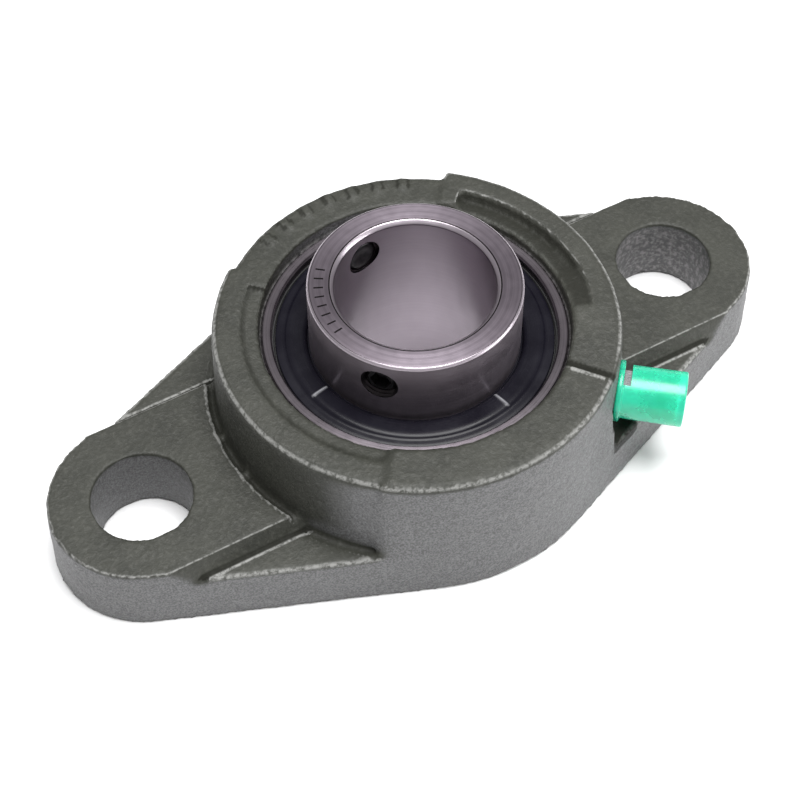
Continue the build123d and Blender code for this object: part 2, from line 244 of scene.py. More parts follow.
class Surface:
    """A node material around one Principled shader."""

    def __init__(self, name, **sockets):
        self.material = bpy.data.materials.new(name)
        self.material.use_nodes = True
        self.tree = self.material.node_tree
        self.shader = self.tree.nodes["Principled BSDF"]
        self.place = self.add("ShaderNodeTexCoord").outputs["Object"]
        for key, value in sockets.items():
            self.set(key.replace("_", " "), value)

    def feed(self, socket, value):
        """Links another socket, or sets a value."""
        if isinstance(value, bpy.types.NodeSocket):
            self.tree.links.new(value, socket)
        elif isinstance(value, tuple) and socket.type == "RGBA":
            socket.default_value = (*value, 1)
        else:
            socket.default_value = value

    def set(self, key, value):
        self.feed(self.shader.inputs[key], value)

    def add(self, kind, inputs=None, **settings):
        node = self.tree.nodes.new(kind)
        for key, value in settings.items():
            setattr(node, key, value)
        for key, value in (inputs or {}).items():
            self.feed(node.inputs[key], value)
        return node

    def math(self, operation, a, b=0.0):
        return self.add("ShaderNodeMath", {0: a, 1: b}, operation=operation).outputs[0]

    def noise(self, size, detail=3.0, roughness=0.55, place=None):
        """Noise of about one for each given length in metres."""
        inputs = {"Vector": place or self.place, "Scale": 1 / size, "Detail": detail, "Roughness": roughness}
        return self.add("ShaderNodeTexNoise", inputs).outputs["Fac"]

    def ramp(self, value, stops):
        """Colour ramp from (position, colour) stops."""
        ramp = self.add("ShaderNodeValToRGB", {"Fac": value})
        for element, (position, colour) in zip(ramp.color_ramp.elements, stops, strict=True):
            element.position = position
            element.color = (*colour, 1)
        return ramp.outputs["Color"]

    def span(self, value, low, high, out_low, out_high):
        """Value carried from one range to another, held inside it."""
        inputs = {0: value, 1: low, 2: high, 3: out_low, 4: out_high}
        return self.add("ShaderNodeMapRange", inputs).outputs[0]

    def blend(self, share, first, second):
        """The first colour, going over to the second as the share goes from 0 to 1."""
        node = self.add("ShaderNodeMix", {0: share}, data_type="RGBA")
        colours = [s for s in node.inputs if s.type == "RGBA"]
        self.feed(colours[0], first)
        self.feed(colours[1], second)
        return [s for s in node.outputs if s.type == "RGBA"][0]

    def attribute(self, name):
        return self.add("ShaderNodeAttribute", attribute_name=name).outputs["Fac"]

    def bump(self, height, depth, strength=1.0, under=None):
        inputs = {"Height": height, "Distance": depth, "Strength": strength}
        if under is not None:
            inputs["Normal"] = under
        return self.add("ShaderNodeBump", inputs).outputs["Normal"]

    def around_axis(self):
        """(distance from the shaft axis, 0, height), for marks that run round the ring."""
        split = self.add("ShaderNodeSeparateXYZ", {"Vector": self.place})
        x, y, z = split.outputs
        radius = self.math("SQRT", self.math("ADD", self.math("MULTIPLY", x, x), self.math("MULTIPLY", y, y)))
        return self.add("ShaderNodeCombineXYZ", {"X": radius, "Z": z}).outputs[0]


def make_casting_paint():
    """Olive-grey paint over a sand-cast skin, with painted light: paler on steep faces, painted highlight and wear
    along edges, painted shade in hollows.
    """
    s = Surface("casting_paint", IOR=1.5)
    broad = s.noise(7 * MM, detail=5)
    fine = s.noise(0.8 * MM, detail=5, roughness=0.65)
    speck = s.noise(0.3 * MM, detail=2)
    base = s.ramp(broad, [(0.33, (0.022, 0.023, 0.018)), (0.67, (0.034, 0.035, 0.028))])
    grainy = s.blend(s.span(fine, 0.48, 0.75, 0, 0.5), base, (0.07, 0.07, 0.06))
    # Painted light: steep faces are paler and speckled, as if lit from the floor; the hub wall above each pad is
    # kept darker as painted shade.
    sand = s.blend(s.span(speck, 0.4, 0.62, 0, 1), (0.075, 0.075, 0.078), (0.20, 0.20, 0.21))
    steep = s.span(s.attribute("side"), 0.62, 0.85, 0, 0.6)
    painted_lit_side = s.blend(steep, grainy, sand)
    # Painted highlight and wear: broken pale flecks along convex edges.
    edge = s.attribute("edge")
    fleck = s.math("MULTIPLY", s.span(edge, 0.35, 0.8, 0, 1), s.span(fine, 0.38, 0.54, 0.2, 1))
    highlight_and_wear = s.blend(s.math("MULTIPLY", fleck, 0.85), painted_lit_side, (0.27, 0.27, 0.26))
    # Painted shade: near-black where the shade layer is high, in hollows, recesses, grooves and the pocket.
    painted_shade_share = s.span(s.attribute("painted_shade"), 0.3, 0.9, 0, 0.75)
    dark = s.blend(painted_shade_share, highlight_and_wear, (0.012, 0.012, 0.010))
    bare = s.blend(s.span(fine, 0.46, 0.62, 0, 1), (0.07, 0.07, 0.07), (0.26, 0.245, 0.25))
    s.set("Base Color", s.blend(s.attribute("machined"), dark, bare))
    s.set("Roughness", s.span(fine, 0.3, 0.7, 0.6, 0.46))
    # Painted sheen: more specular on steep faces, and less where there is painted shade.
    sheen = s.span(s.attribute("side"), 0.5, 0.9, 0.36, 0.62)
    s.set("Specular IOR Level", s.math("MULTIPLY", sheen, s.span(s.attribute("painted_shade"), 0.3, 0.9, 1, 0.15)))
    first = s.bump(fine, 0.14 * MM)
    s.set("Normal", s.bump(speck, 0.05 * MM, under=first))
    return s.material


def make_ground_steel(name, base, bright, roughness):
    """Ground bearing steel with fine lines that run round the axis, a painted sheen and highlight on some faces,
    and darker holes and ticks.
    """
    s = Surface(name, Metallic=1.0, Anisotropic=0.55, Anisotropic_Rotation=0.25)
    s.set("Tangent", s.add("ShaderNodeTangent", direction_type="RADIAL", axis="Z").outputs[0])
    lines = s.noise(0.3 * MM, detail=2, place=s.around_axis())
    cloud = s.noise(7 * MM, detail=3)
    smear = s.noise(1.6 * MM, detail=4)
    tone = s.math("ADD", s.math("MULTIPLY", lines, 0.55), s.math("MULTIPLY", cloud, 0.45))
    ground = s.ramp(tone, [(0.3, base), (0.72, bright)])
    # Painted sheen and highlight: lighter steel on the chamfers, in the bore and on the outer wall.
    polished = s.blend(s.attribute("polished"), ground, (0.46, 0.41, 0.455))
    # Darker inside the tapped holes and the ticks.
    s.set("Base Color", s.blend(s.attribute("darkened"), polished, (0.03, 0.026, 0.028)))
    rough = s.math("ADD", s.span(lines, 0.3, 0.7, -0.02, 0.03), s.span(smear, 0.3, 0.7, -0.02, 0.03))
    s.set("Roughness", s.math("ADD", rough, roughness))
    s.set("Normal", s.bump(cloud, 0.004 * MM, strength=0.3))
    return s.material


def make_slinger_black():
    """Gloss black coating on a pressed disc, with dust, a few fine scuffs, and a painted highlight along the ribs.
    """
    s = Surface("slinger_black", IOR=1.5, Specular_IOR_Level=0.16)
    cloud = s.noise(5 * MM, detail=4)
    scuff = s.noise(0.5 * MM, detail=4, roughness=0.7, place=s.around_axis())
    dust = s.noise(0.25 * MM, detail=2)
    base = s.ramp(cloud, [(0.35, (0.005, 0.0045, 0.008)), (0.7, (0.009, 0.0085, 0.013))])
    dusty = s.blend(s.span(dust, 0.68, 0.82, 0, 0.3), base, (0.06, 0.06, 0.065))
    # Painted highlight: paler grey along the raised ribs.
    s.set("Base Color", s.blend(s.attribute("highlight_and_wear"), dusty, (0.3, 0.3, 0.32)))
    s.set("Roughness", s.math("ADD", s.span(cloud, 0.3, 0.7, 0.18, 0.28), s.span(scuff, 0.4, 0.7, 0, 0.08)))
    s.set("Normal", s.bump(scuff, 0.008 * MM, strength=0.5))
    return s.material


def make_cap_plastic():
    """Glossy translucent green plastic."""
    s = Surface("cap_green_plastic", IOR=1.49)
    cloud = s.noise(3 * MM, detail=3)
    fine = s.noise(0.3 * MM, detail=2)
    s.set("Base Color", s.ramp(cloud, [(0.3, (0.03, 0.74, 0.45)), (0.7, (0.05, 0.90, 0.60))]))
    s.set("Transmission Weight", 0.6)
    s.set("Roughness", s.span(cloud, 0.3, 0.7, 0.22, 0.32))
    s.set("Normal", s.bump(fine, 0.004 * MM, strength=0.4))
    return s.material


def make_mottled(name, sizes, tones, roughness, bump, strength=0.5, **sockets):
    """Colour that varies over the first size, and roughness and height over the second, in mm."""
    s = Surface(name, **sockets)
    cloud = s.noise(sizes[0] * MM, detail=4)
    fine = s.noise(sizes[1] * MM, detail=3)
    s.set("Base Color", s.ramp(cloud, tones))
    s.set("Roughness", s.span(fine, 0.3, 0.7, *roughness))
    s.set("Normal", s.bump(fine, bump * MM, strength=strength))
    return s.material


def make_plain_metal(name, dark, light, roughness, grain=0.3):
    """Sheet, wire or plated metal with a fine mottled finish."""
    rough = (roughness - 0.06, roughness + 0.08)
    return make_mottled(name, (2.5, grain), [(0.3, dark), (0.7, light)], rough, 0.006, Metallic=1.0)


def make_black_oxide():
    """Oiled black oxide on a hardened screw."""
    tones = [(0.3, (0.022, 0.022, 0.024)), (0.75, (0.07, 0.068, 0.07))]
    return make_mottled("black_oxide", (1.1, 0.12), tones, (0.28, 0.48), 0.01, Metallic=0.9)


def make_rubber():
    """Matt black nitrile rubber."""
    tones = [(0.3, (0.015, 0.015, 0.016)), (0.7, (0.03, 0.03, 0.031))]
    return make_mottled("seal_rubber", (2, 0.15), tones, (0.6, 0.8), 0.01, strength=0.6, IOR=1.5)


paint = make_casting_paint()
ring_steel = make_ground_steel("ring_steel", (0.175, 0.15, 0.175), (0.275, 0.238, 0.273), 0.33)
race_steel = make_ground_steel("race_steel", (0.15, 0.132, 0.147), (0.27, 0.24, 0.265), 0.28)
slinger_black = make_slinger_black()
cap_plastic = make_cap_plastic()
black_oxide = make_black_oxide()
zinc = make_plain_metal("zinc_plate", (0.36, 0.36, 0.38), (0.52, 0.52, 0.53), 0.28)
pressed_steel = make_plain_metal("pressed_steel", (0.36, 0.36, 0.36), (0.52, 0.52, 0.52), 0.34)
ball_steel = make_plain_metal("ball_steel", (0.62, 0.62, 0.63), (0.7, 0.7, 0.71), 0.12)
spring_steel = make_plain_metal("spring_steel", (0.34, 0.34, 0.36), (0.5, 0.5, 0.5), 0.3, grain=0.1)
pin_steel = make_plain_metal("pin_steel", (0.35, 0.35, 0.36), (0.48, 0.48, 0.5), 0.3)
rubber = make_rubber()


# -------------------------------- casting

# Heights are above the mounting face and radii from the shaft axis. Angles run round it from +X.

# Grid of the cast mesh, and how its edges and roots are rounded.
VOXEL = 0.5 * MM
EDGE_PASSES = 2
ROOT_PASSES = 8
ROOT_RADIUS = 36 * MM
ROOT_TOP = 20 * MM
ROOT_GAIN = 14
ROOT_SPREAD_PASSES = 2
ROOT_SPREAD_GAIN = 2

# Machined faces: the seat, the mounting face, and the bare wall of the +X bolt hole.
SEAT_RADIUS = 26.03 * MM
FACE_BAND = 0.3 * MM
FACE_DOWN = -0.9
# The seat is only partly bare metal, so it stays darker: painted shade in the gap round the outer ring.
SEAT_SHARE = 0.45
BARE_HOLE_BAND = 0.1 * MM
BARE_HOLE_TOP = 12 * MM
BARE_HOLE_SHARE = 0.75

# Step between the front wall and the side of the hub, blended away.
BLEND_ANGLE = math.radians(-129)
BLEND_HALF_WIDTH = 6 * MM
BLEND_GAIN = 1.5
BLEND_RADIUS = 29.7 * MM
BLEND_LOW, BLEND_LOW_FADE = 10.5 * MM, 1 * MM
BLEND_HIGH, BLEND_HIGH_FADE = 23.5 * MM, 2 * MM
BLEND_PASSES = 60

# Painted highlight and wear along edges, and painted shade in hollows, found from the bend of the surface.
EDGE_GAIN = 7
HOLLOW_GAIN = 8
HOLE_RIM = 1.4 * MM
MOUTH_RADIUS = 26.2 * MM
MOUTH_HIGHLIGHT_AND_WEAR = 0.45

# Radial step of the top face: painted shade at its foot, painted highlight and wear on its edge.
STEP_ANGLE = math.radians(-51)
STEP_LOW = 25.4 * MM
STEP_START = -0.1 * MM
STEP_FOOT = 1.9 * MM
STEP_EDGE = -0.3 * MM
STEP_GAIN = 1.4

# Deep recess of the top face, with painted shade on its floor.
RECESS_ANGLES = (-24, 44)
RECESS_RADII = (25.4 * MM, 28.7 * MM)
RECESS_FLOOR = 24.8 * MM
RECESS_SHADE = 0.75

# Shallow recess of the top face: painted shade at the foot of its wall, and at its end.
SHALLOW_ANGLE = 134.5
SHALLOW_END = 1.8
SHALLOW_RADII = (27.1 * MM, 28.0 * MM)
SHALLOW_HEIGHTS = (25.6 * MM, 26.45 * MM)
SHALLOW_WALL_SHADE = 0.55
SHALLOW_END_SHADE = 0.9

# Painted highlight and wear on the top edge of the hub, as (radius, height) on its narrow and wide sides.
NARROW_ANGLE = 129.5
WIDE_END = 51
NARROW_RIM = (32.1 * MM, 26.25 * MM)
WIDE_RIM = (32.7 * MM, 26.65 * MM)
HUB_RIM_REACH = 0.75 * MM
HUB_RIM_GAIN = 1.4
HUB_RIM_HIGHLIGHT_AND_WEAR = 0.75

# Row of plain raised bars on the top face, with painted shade on their flanks.
MARK_FIRST = 64
MARK_PITCH = 8.5
MARK_COUNT = 7
MARK_RADIUS = 29.6 * MM
MARK_HALF_LENGTH = 1.2 * MM
MARK_HALF_WIDTH = 0.5 * MM
MARK_FLANK = 1.25 * MM
MARK_GAIN = 1.6
MARK_RISE = 0.08 * MM
MARK_SHADE = 0.75

# Groove beside each pad, with painted shade in it, and the edge beyond it, with painted highlight and wear.
GROOVE_HEIGHTS = (9.2 * MM, 10.6 * MM)
GROOVE_SIDES = (16.1 * MM, 17.2 * MM)
GROOVE_EDGE = 0.5 * MM
WALL_SIDE = 0.45

# Edge of each pad beside the foot of the hub, with painted highlight and wear.
PAD_RIM_RADII = (34.2 * MM, 34.75 * MM)
PAD_RIM_HEIGHTS = (12.3 * MM, 13.3 * MM)
PAD_HALF_WIDTH = 15 * MM
PAD_RIM_HIGHLIGHT_AND_WEAR = 0.7

# Painted shade: the hub wall above each pad is darker.
PAD_SHADE_END = 25.5 * MM
PAD_SHADE_FADE = 15 * MM
PAD_SHADE_HEIGHTS = (9.5 * MM, 14 * MM)
PAD_SIDE_SHADE = 0.75

# Painted shade in the pocket between the front wall and the hub, under the cap.
POCKET_ANGLES = (-52, -42)
POCKET_HEIGHTS = (8 * MM, 15.5 * MM)
POCKET_RADII = (31.5 * MM, 38.5 * MM)

# Sand-cast skin.
SKIN_SIZE, SKIN_DEPTH = 5 * MM, 0.05 * MM
RIPPLE_SIZE, RIPPLE_DEPTH = 1.6 * MM, 0.085 * MM
RIPPLE_ROUGHNESS, RIPPLE_LACUNARITY, RIPPLE_OCTAVES = 0.9, 2.1, 2
RIPPLE_ON_TOP = 0.25
GRAIN_SIZE, GRAIN_DEPTH = 0.8 * MM, 0.05 * MM
SKIN_DROP = 0.04 * MM


def read_grid(mesh):
    """Vertex places, edges, and the number of neighbours of each vertex."""
    points = np.zeros(len(mesh.vertices) * 3, np.float32)
    mesh.vertices.foreach_get("co", points)
    edges = np.zeros(len(mesh.edges) * 2, np.int32)
    mesh.edges.foreach_get("vertices", edges)
    counts = np.bincount(edges, minlength=len(mesh.vertices)).astype(float)
    return points.reshape(-1, 3).astype(float), edges.reshape(-1, 2), counts


def neighbour_mean(points, edges, counts):
    """Mean place of the neighbours of every vertex."""
    total = np.zeros_like(points)
    for axis in range(3):
        total[:, axis] += np.bincount(edges[:, 0], points[edges[:, 1], axis], len(points))
        total[:, axis] += np.bincount(edges[:, 1], points[edges[:, 0], axis], len(points))
    return total / counts[:, None]


def vertex_normals(mesh, points):
    """Normals of the mesh after its vertices are moved to the points."""
    mesh.vertices.foreach_set("co", points.astype(np.float32).ravel())
    mesh.update()
    normals = np.zeros(len(points) * 3, np.float32)
    mesh.vertex_normals.foreach_get("vector", normals)
    return normals.reshape(-1, 3).astype(float)


def find_bend(mesh, points, edges, counts):
    """How far each vertex lies below its neighbours, in voxels, and the normals."""
    normals = vertex_normals(mesh, points)
    rise = neighbour_mean(points, edges, counts) - points
    return np.einsum("ij,ij->i", rise, normals) / VOXEL, normals


def spread(values, edges, counts, passes):
    """Values averaged with their neighbours a few times."""
    column = values[:, None].repeat(3, 1)
    for _ in range(passes):
        column = 0.5 * column + 0.5 * neighbour_mean(column, edges, counts)
    return column[:, 0]


def relax(points, edges, counts, share, passes):
    """Moves each point half-way to the mean of its neighbours, times its share, a few times."""
    for _ in range(passes):
        points += 0.5 * (neighbour_mean(points, edges, counts) - points) * share[:, None]


def polar(points):
    """Angle in degrees and distance from the shaft axis of each vertex."""
    angle = np.degrees(np.arctan2(points[:, 1], points[:, 0]))
    return angle, np.hypot(points[:, 0], points[:, 1])


def between(values, limits):
    return (values > limits[0]) & (values < limits[1])


def near(distance, reach, gain):
    """Share that is one close by and zero beyond the reach. A larger gain keeps it at one for longer."""
    return np.clip(gain - gain * np.abs(distance) / reach, 0, 1)


def wall_step_share(points):
    """Share of blending for the step where the front wall meets the side of the hub."""
    out = np.array([math.cos(BLEND_ANGLE), math.sin(BLEND_ANGLE)])
    across = points[:, 1] * out[0] - points[:, 0] * out[1]
    low = np.clip((points[:, 2] - BLEND_LOW) / BLEND_LOW_FADE, 0, 1)
    high = np.clip((BLEND_HIGH - points[:, 2]) / BLEND_HIGH_FADE, 0, 1)
    return near(across, BLEND_HALF_WIDTH, BLEND_GAIN) * low * high * (points[:, :2] @ out > BLEND_RADIUS)


def distance_past_step(points):
    """Distance past the radial step of the top face, or a large value away from it."""
    past = points[:, 1] * math.cos(STEP_ANGLE) - points[:, 0] * math.sin(STEP_ANGLE)
    outward = points[:, 0] * math.cos(STEP_ANGLE) + points[:, 1] * math.sin(STEP_ANGLE)
    return np.where((outward > 0) & (points[:, 2] > STEP_LOW), past, 1.0)


def in_deep_recess(points):
    """Vertices on the floor of the deep recess of the top face."""
    angle, radius = polar(points)
    return between(angle, RECESS_ANGLES) & between(radius, RECESS_RADII) & (points[:, 2] > RECESS_FLOOR)


def at_shallow_wall(points):
    """Vertices at the foot of the wall of the shallow recess, and those of its end."""
    angle, radius = polar(points)
    low = between(points[:, 2], SHALLOW_HEIGHTS) & (radius < SHALLOW_RADII[1])
    reach = (np.abs(angle) > SHALLOW_ANGLE) & low
    return reach & (radius > SHALLOW_RADII[0]), reach & between(angle, (0, SHALLOW_ANGLE + SHALLOW_END))


def distance_from_mark(points):
    """Distance of each vertex from the nearest raised bar, across it, or a large value away from them."""
    angle, radius = polar(points)
    number = np.clip(np.round((angle - MARK_FIRST) / MARK_PITCH), 0, MARK_COUNT - 1)
    across = radius * np.sin(np.radians(np.abs(angle - MARK_FIRST - number * MARK_PITCH)))
    far = (angle < 0) | (points[:, 2] < STEP_LOW) | (np.abs(radius - MARK_RADIUS) > MARK_HALF_LENGTH)
    return np.where(far, 1.0, across)


def pad_groove(points):
    """Vertices in the groove beside each pad, and on the far edge of that groove."""
    beside = np.abs(points[:, 1])
    low = between(points[:, 2], GROOVE_HEIGHTS)
    edge = (GROOVE_SIDES[1], GROOVE_SIDES[1] + GROOVE_EDGE)
    return low & between(beside, GROOVE_SIDES), low & between(beside, edge)


def on_pad_rim(points):
    """Vertices on the edge of each pad beside the foot of the hub."""
    rim = between(polar(points)[1], PAD_RIM_RADII) & (np.abs(points[:, 1]) < PAD_HALF_WIDTH)
    return rim & between(points[:, 2], PAD_RIM_HEIGHTS)


def on_hub_rim(points):
    """Share of painted highlight and wear along the middle of the rounded top edge of the hub."""
    angle, radius = polar(points)
    behind = np.abs(angle) > NARROW_ANGLE
    across = radius - np.where(behind, NARROW_RIM[0], WIDE_RIM[0])
    above = points[:, 2] - np.where(behind, NARROW_RIM[1], WIDE_RIM[1])
    return near(np.hypot(across, above), HUB_RIM_REACH, HUB_RIM_GAIN) * ((angle < WIDE_END) | behind)


def beside_pad(points):
    """Share of painted shade on the hub wall that looks at a pad."""
    low, high = PAD_SHADE_HEIGHTS
    share = np.clip((PAD_SHADE_END - np.abs(points[:, 1])) / PAD_SHADE_FADE, 0, 1)
    share *= np.clip((points[:, 2] - low) / (high - low), 0, 1)
    return share * (polar(points)[1] < PAD_RIM_RADII[0])


def in_pocket(points):
    """Vertices of the pocket between the front wall and the hub, under the cap, which is dark with painted shade.
    """
    angle, radius = polar(points)
    inside = between(angle, POCKET_ANGLES) & between(radius, POCKET_RADII)
    return inside & between(points[:, 2], POCKET_HEIGHTS)


def find_machined(mesh, points):
    """Vertices of the seat, those of the mounting face, and how machined every vertex looks."""
    from_centre = points - np.array(ball_centre)
    normals = vertex_normals(mesh, points)
    facing_in = np.einsum("ij,ij->i", from_centre, normals) < 0
    seat = (np.abs(np.linalg.norm(from_centre, axis=1) - SEAT_RADIUS) < FACE_BAND) & facing_in
    face = (points[:, 2] < FACE_BAND) & (normals[:, 2] < FACE_DOWN)
    bare = np.hypot(points[:, 0] - bolt_x, points[:, 1]) < bolt_radius + BARE_HOLE_BAND
    bare &= (points[:, 2] < BARE_HOLE_TOP) & ~face
    return seat, face, face + SEAT_SHARE * seat + BARE_HOLE_SHARE * bare


def round_casting(mesh, points, edges, counts, free):
    """Rounds the cast edges and the roots, and blends the step in the hub wall."""
    relax(points, edges, counts, free, EDGE_PASSES)
    bend = find_bend(mesh, points, edges, counts)[0]
    root = spread(np.clip(bend * ROOT_GAIN, 0, 1), edges, counts, ROOT_SPREAD_PASSES)
    root = np.clip(root * ROOT_SPREAD_GAIN, 0, 1)
    root *= (points[:, 2] < ROOT_TOP) & (polar(points)[1] < ROOT_RADIUS)
    relax(points, edges, counts, free * root, ROOT_PASSES)
    relax(points, edges, counts, free * wall_step_share(points), BLEND_PASSES)


def find_highlight_and_wear(bend, points, side):
    """Painted highlight and wear of the paint along edges."""
    highlight_and_wear = np.clip(-bend * EDGE_GAIN, 0, 1)
    for x in (-bolt_x, bolt_x):
        highlight_and_wear[np.hypot(points[:, 0] - x, points[:, 1]) < bolt_radius + HOLE_RIM] = 0
    past_step = distance_past_step(points)
    highlight_and_wear = np.maximum(highlight_and_wear, near(past_step - STEP_EDGE, STEP_GAIN * VOXEL, STEP_GAIN))
    highlight_and_wear[distance_from_mark(points) < MARK_FLANK] *= MOUTH_HIGHLIGHT_AND_WEAR
    highlight_and_wear[(points[:, 2] > STEP_LOW) & (polar(points)[1] < MOUTH_RADIUS)] *= MOUTH_HIGHLIGHT_AND_WEAR
    highlight_and_wear[pad_groove(points)[1] & (side < WALL_SIDE)] = 1
    highlight_and_wear[on_pad_rim(points)] = PAD_RIM_HIGHLIGHT_AND_WEAR
    rim = on_hub_rim(points)
    return np.where(rim > 0, HUB_RIM_HIGHLIGHT_AND_WEAR * rim, highlight_and_wear)


def find_painted_shade(bend, points, side, edges, counts):
    """Painted shade in hollows, recesses, grooves, the pocket under the cap and at the foot of steps."""
    shade = spread(np.clip(bend * HOLLOW_GAIN, 0, 1), edges, counts, 1)
    shade[in_pocket(points)] = 1
    shade[in_deep_recess(points)] = RECESS_SHADE
    shade = spread(shade, edges, counts, 1)
    past_step = distance_past_step(points)
    foot = np.clip((past_step - STEP_START) / VOXEL, 0, 1) * np.clip((STEP_FOOT - past_step) / VOXEL, 0, 1)
    shade = np.maximum(shade, foot)
    shade[between(distance_from_mark(points), (MARK_HALF_WIDTH, MARK_FLANK))] = MARK_SHADE
    shade[pad_groove(points)[0] & (side < WALL_SIDE)] = 1
    wall, end = at_shallow_wall(points)
    shade[wall] = np.maximum(shade[wall], SHALLOW_WALL_SHADE)
    shade[end] = SHALLOW_END_SHADE
    return shade


def skin_depth(points, side):
    """Height of the sand-cast ripple and grain at each vertex."""
    skin = np.array([noise.noise(Vector(p) / SKIN_SIZE) for p in points])
    settings = (RIPPLE_ROUGHNESS, RIPPLE_LACUNARITY, RIPPLE_OCTAVES)
    ripple = np.array([noise.fractal(Vector(p) / RIPPLE_SIZE, *settings) for p in points])
    grain = np.array([noise.noise(Vector(p) / GRAIN_SIZE) for p in points])
    steep = RIPPLE_ON_TOP + (1 - RIPPLE_ON_TOP) * side
    return SKIN_DEPTH * skin + RIPPLE_DEPTH * steep * ripple + GRAIN_DEPTH * grain - SKIN_DROP


def make_casting():
    """The housing with rounded cast edges, a grained skin, and smooth machined faces."""
    mesh = with_modifier(nodes["housing"].data.copy(), "REMESH", mode="VOXEL", voxel_size=VOXEL)
    mesh.name = "cast_housing"
    points, edges, counts = read_grid(mesh)
    seat, face, machined = find_machined(mesh, points)
    free = (~(seat | face)).astype(float)
    round_casting(mesh, points, edges, counts, free)
    from_centre = points[seat] - np.array(ball_centre)
    distance = np.linalg.norm(from_centre, axis=1)[:, None]
    points[seat] = np.array(ball_centre) + from_centre / distance * SEAT_RADIUS
    points[face, 2] = 0

    bend, normals = find_bend(mesh, points, edges, counts)
    side = spread(1 - np.abs(normals[:, 2]), edges, counts, 3)
    highlight_and_wear = find_highlight_and_wear(bend, points, side)
    shade = find_painted_shade(bend, points, side, edges, counts)
    # Painted shade: the steep hub wall above each pad is made less pale and less specular.
    side *= 1 - PAD_SIDE_SHADE * beside_pad(points)
    points[:, 2] += MARK_RISE * near(distance_from_mark(points), MARK_FLANK, MARK_GAIN)
    rough = spread(free, edges, counts, 1)
    points += normals * (rough * skin_depth(points, side))[:, None]
    vertex_normals(mesh, np.clip(points, np.array(cad_low), np.array(cad_high)))
    # Vertex layers: painted highlight and wear, painted shade, steepness that drives painted light on steep faces,
    # and the machined share.
    for name, values in (("edge", highlight_and_wear), ("painted_shade", shade), ("side", side), ("machined", machined)):
        layer = mesh.attributes.new(name, "FLOAT", "POINT")
        layer.data.foreach_set("value", values.astype(np.float32))
    mesh.polygons.foreach_set("use_smooth", np.ones(len(mesh.polygons), bool))
    new_object("cast_housing", mesh, "housing", paint, ["housing"])


make_casting()


# -------------------------------- rings

RING_SEGMENTS = 192
RING_STEP = 1.2 * MM
OUTER_CHAMFER = 0.35 * MM
BORE_CHAMFER = 0.6 * MM
EDGE_ROUNDING = 0.24 * MM
RACEWAY_RADIUS = 4.12 * MM
INNER_RACEWAY_CENTRE = 19.641 * MM
OUTER_RACEWAY_CENTRE = 19.399 * MM
NEAR_OUTSIDE = 0.9
SLACK = 1e-6

# Threads, as rings. Each turn runs from its root to its crest and back, in shares of the pitch.
THREAD_PITCH = 0.75 * MM
THREAD_SEGMENTS = 48
THREAD_FOOT = 0.05

# Tapped holes, with a clean counterbored mouth at both ends.
HOLE_MINOR = 2.7 * MM
HOLE_MAJOR = 3.0 * MM
HOLE_CREST = 0.45
HOLE_MOUTH = 3.06 * MM
BORE_MOUTH_DEPTH = 0.1 * MM
WALL_MOUTH_DEPTH = 0.45 * MM
MOUTH_SLOPE = 0.2 * MM

# Row of plain ticks on the end face.
TICK_COUNT = 8
TICK_FIRST = 140
TICK_PITCH = 7
TICK_RADIUS = 15.1 * MM
TICK_SIZE = (1.5 * MM, 0.3 * MM)
TICK_DEPTH = 0.05 * MM

# Share of painted sheen in the bore and on the wall, and what counts as a sloped face.
BORE_SHEEN = 0.5
WALL_SHEEN = 0.5
WALL_BAND = 0.1 * MM
SLOPED = (0.2, 0.98)

ring_low, ring_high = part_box("inner_ring")
ring_radius = ring_high.x


def screw_frames():
    """Local frames of the two set screws, with Z pointing outwards."""
    frames = []
    for number in (1, 2):
        low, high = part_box(f"set_screw_{number}")
        origin = Vector((0, 0, (low.z + high.z) / 2))
        frames.append(along(joints[f"set_screw_{number}_travel"]["axis"], origin))
    return frames


def thread_turns(start, turns, root, crest, crest_start):
    """Outline of ring threads from a starting height."""
    outline = []
    for k in range(turns):
        here = start + k * THREAD_PITCH
        outline.append((root, here + THREAD_FOOT * THREAD_PITCH))
        outline.append((crest, here + crest_start * THREAD_PITCH))
        outline.append((crest, here + (1 - crest_start) * THREAD_PITCH))
        outline.append((root, here + (1 - THREAD_FOOT) * THREAD_PITCH))
    return outline


def hole_outline():
    """Tapped hole from inside the bore to beyond the wall of the ring."""
    bore_mouth = bore_radius + BORE_MOUTH_DEPTH
    wall_mouth = ring_radius - WALL_MOUTH_DEPTH
    inside, beyond = bore_radius - HOLE_MAJOR, ring_radius + HOLE_MAJOR
    turns = int((wall_mouth - bore_mouth) / THREAD_PITCH)
    start = [(0, inside), (HOLE_MOUTH, inside), (HOLE_MOUTH, bore_mouth)]
    end = [(HOLE_MOUTH, wall_mouth + MOUTH_SLOPE), (HOLE_MOUTH, beyond), (0, beyond)]
    return start + thread_turns(bore_mouth, turns, HOLE_MINOR, HOLE_MAJOR, HOLE_CREST) + end


def tick_cutter(turn, top):
    """Small block that sinks one radial tick into the end face of the ring."""
    length, width = TICK_SIZE
    mesh = bpy.data.meshes.new("tick_cutter")
    work = bmesh.new()
    bmesh.ops.create_cube(work, size=1)
    work.to_mesh(mesh)
    work.free()
    scale = Matrix.Diagonal((length, width, 2 * TICK_DEPTH, 1))
    place = Matrix.Translation((TICK_RADIUS, 0, top))
    mesh.transform(Matrix.Rotation(turn, 4, "Z") @ place @ scale)
    return mesh


def bend_into_raceway(point, centre):
    """Point of the outline pushed out of the round of the raceway."""
    away = Vector(point) - centre
    if away.length < RACEWAY_RADIUS - SLACK and point[0] > NEAR_OUTSIDE * ring_radius:
        height = point[1] - centre.y
        return Vector((centre.x - math.sqrt(RACEWAY_RADIUS**2 - height**2), point[1]))
    return Vector(point)


